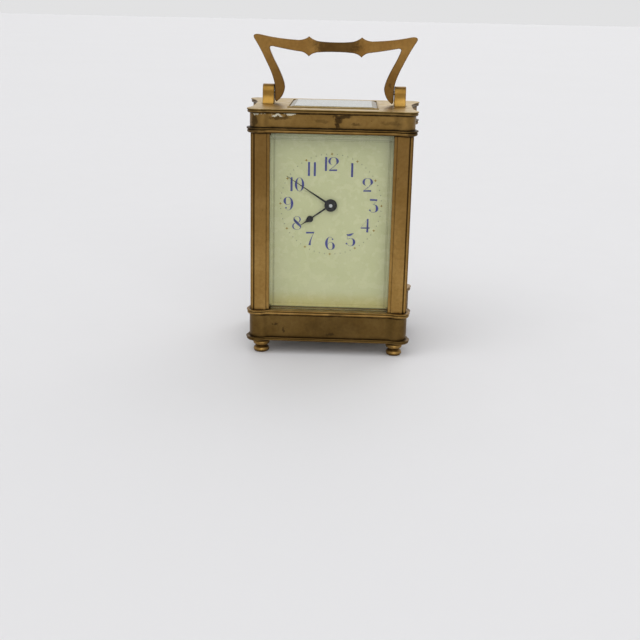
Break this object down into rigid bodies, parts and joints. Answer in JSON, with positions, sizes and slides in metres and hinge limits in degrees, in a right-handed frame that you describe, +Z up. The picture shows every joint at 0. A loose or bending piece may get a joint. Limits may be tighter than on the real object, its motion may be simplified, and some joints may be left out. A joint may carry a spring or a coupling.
{
  "type": "carriage clock",
  "caption": "Brass carriage clock with glazed sides, enamel dial, shaped folding handle, hinged rear door and a spring-driven movement with a platform escapement.",
  "frame": {"origin": "centre of the bounding box in plan, on the surface the feet stand on", "axes": "+Z up, the dial and front glass face -Y, +X is to the right of someone looking at the dial"},
  "size_m": [0.0868, 0.0626, 0.1521],
  "materials": {
    "case_brass": "aged satin",
    "polished_brass": "polished",
    "movement_brass": "brushed",
    "steel": "brushed",
    "blued_steel": "heat blued",
    "black_steel": "satin black",
    "enamel": "glossy fired enamel",
    "glass": "bevelled, clear"
  },
  "bodies": {
    "case": {"bottom_plate": "case_brass", "foot_front_left": "case_brass", "foot_front_right": "case_brass", "foot_rear_left": "case_brass", "foot_rear_right": "case_brass", "plinth_band": "case_brass", "base_moulding": "case_brass", "pillar_front_left": "case_brass", "pillar_front_right": "case_brass", "pillar_rear_left": "case_brass", "pillar_rear_right": "case_brass", "cornice_moulding": "case_brass", "frieze_band": "case_brass", "top_plate": "case_brass", "top_glass": "glass", "front_glass": "glass", "left_glass": "glass", "right_glass": "glass", "movement_screws": "steel", "post_left": "polished_brass", "post_right": "polished_brass", "handle_pins": "steel", "front_plate": "movement_brass", "back_plate": "movement_brass", "movement_pillars": "movement_brass", "pillar_screws": "blued_steel", "dial": "enamel", "click_spring": "blued_steel", "click_screws": "blued_steel", "platform": "movement_brass", "platform_screws": "blued_steel", "escape_bridge": "movement_brass", "balance_cock": "movement_brass"},
    "handle": {"handle": "case_brass"},
    "rear_door": {"door_frame": "case_brass", "door_glass": "glass", "door_knob": "polished_brass"},
    "barrel": {"barrel": "movement_brass", "barrel_cover": "movement_brass", "mainspring": "steel"},
    "winding_arbor": {"barrel_arbor": "steel", "ratchet_wheel": "steel"},
    "click": {"click": "steel"},
    "intermediate_wheel": {"intermediate_wheel": "movement_brass"},
    "centre_wheel": {"centre_wheel": "movement_brass"},
    "third_wheel": {"third_wheel": "movement_brass"},
    "contrate_wheel": {"contrate_wheel": "movement_brass"},
    "escape_wheel": {"escape_wheel": "polished_brass"},
    "pallet_lever": {"pallet_lever": "steel"},
    "balance": {"balance_wheel": "polished_brass", "hairspring": "blued_steel"},
    "regulator": {"regulator": "steel"},
    "minute_hand": {"centre_arbor": "steel", "cannon_pinion": "steel", "minute_hand": "black_steel", "hand_collet": "black_steel"},
    "minute_wheel": {"minute_wheel": "movement_brass"},
    "hour_hand": {"hour_wheel": "movement_brass", "hour_hand": "black_steel"}
  },
  "joints": [
    {"name": "handle_fold", "type": "hinge", "parent": "case", "child": "handle", "pos_m": [0, 0, 0.1256], "axis": [1, 0, 0], "range_deg": [-97, 97]},
    {"name": "rear_door_hinge", "type": "hinge", "parent": "case", "child": "rear_door", "pos_m": [0.0272, 0.0272, 0.066], "axis": [0, 0, -1], "range_deg": [0, 95]},
    {"name": "contrate_turn", "type": "hinge", "parent": "case", "child": "contrate_wheel", "pos_m": [0.0085, 0, 0.0906], "axis": [0, 1, 0], "continuous": true},
    {"name": "escape_turn", "type": "hinge", "parent": "case", "child": "escape_wheel", "pos_m": [0.0085, -0.0002, 0.098], "axis": [0, 0, 1], "continuous": true},
    {"name": "third_turn", "type": "hinge", "parent": "case", "child": "third_wheel", "pos_m": [-0.00107, 0, 0.08563], "axis": [0, 1, 0], "continuous": true},
    {"name": "centre_turn", "type": "hinge", "parent": "case", "child": "centre_wheel", "pos_m": [0, 0, 0.0738], "axis": [0, 1, 0], "continuous": true},
    {"name": "intermediate_turn", "type": "hinge", "parent": "case", "child": "intermediate_wheel", "pos_m": [0.01251, 0, 0.06658], "axis": [0, 1, 0], "continuous": true},
    {"name": "barrel_turn", "type": "hinge", "parent": "case", "child": "barrel", "pos_m": [0.00204, 0, 0.04984], "axis": [0, 1, 0], "continuous": true},
    {"name": "winding_turn", "type": "hinge", "parent": "case", "child": "winding_arbor", "pos_m": [0.00204, 0, 0.04984], "axis": [0, 1, 0], "continuous": true},
    {"name": "click_lift", "type": "hinge", "parent": "case", "child": "click", "pos_m": [-0.00736, 0, 0.05104], "axis": [0, -1, 0], "range_deg": [0, 8]},
    {"name": "pallet_swing", "type": "hinge", "parent": "case", "child": "pallet_lever", "pos_m": [0.0042, -0.0002, 0.101], "axis": [0, 0, 1], "range_deg": [-5, 5]},
    {"name": "balance_swing", "type": "hinge", "parent": "case", "child": "balance", "pos_m": [-0.003, -0.0002, 0.1035], "axis": [0, 0, 1], "range_deg": [-220, 220], "stiffness_Nm_per_rad": 0.0000033},
    {"name": "regulator_index", "type": "hinge", "parent": "case", "child": "regulator", "pos_m": [-0.003, -0.0002, 0.107], "axis": [0, 0, 1], "range_deg": [-20, 20]},
    {"name": "hand_setting", "type": "hinge", "parent": "case", "child": "minute_hand", "pos_m": [0, 0, 0.0738], "axis": [0, 1, 0], "continuous": true},
    {"name": "minute_wheel_turn", "type": "hinge", "parent": "case", "child": "minute_wheel", "pos_m": [-0.00552, 0, 0.07843], "axis": [0, 1, 0], "continuous": true},
    {"name": "hour_hand_turn", "type": "hinge", "parent": "case", "child": "hour_hand", "pos_m": [0, 0, 0.0738], "axis": [0, 1, 0], "continuous": true}
  ],
  "couplings": [
    {"joint": "escape_turn", "follows": "contrate_turn", "ratio": 6},
    {"joint": "third_turn", "follows": "contrate_turn", "ratio": -0.1},
    {"joint": "centre_turn", "follows": "contrate_turn", "ratio": 0.01},
    {"joint": "intermediate_turn", "follows": "contrate_turn", "ratio": -0.0015152},
    {"joint": "barrel_turn", "follows": "contrate_turn", "ratio": 0.00018038},
    {"joint": "minute_wheel_turn", "follows": "hand_setting", "ratio": -0.33333},
    {"joint": "hour_hand_turn", "follows": "hand_setting", "ratio": 0.083333}
  ]
}
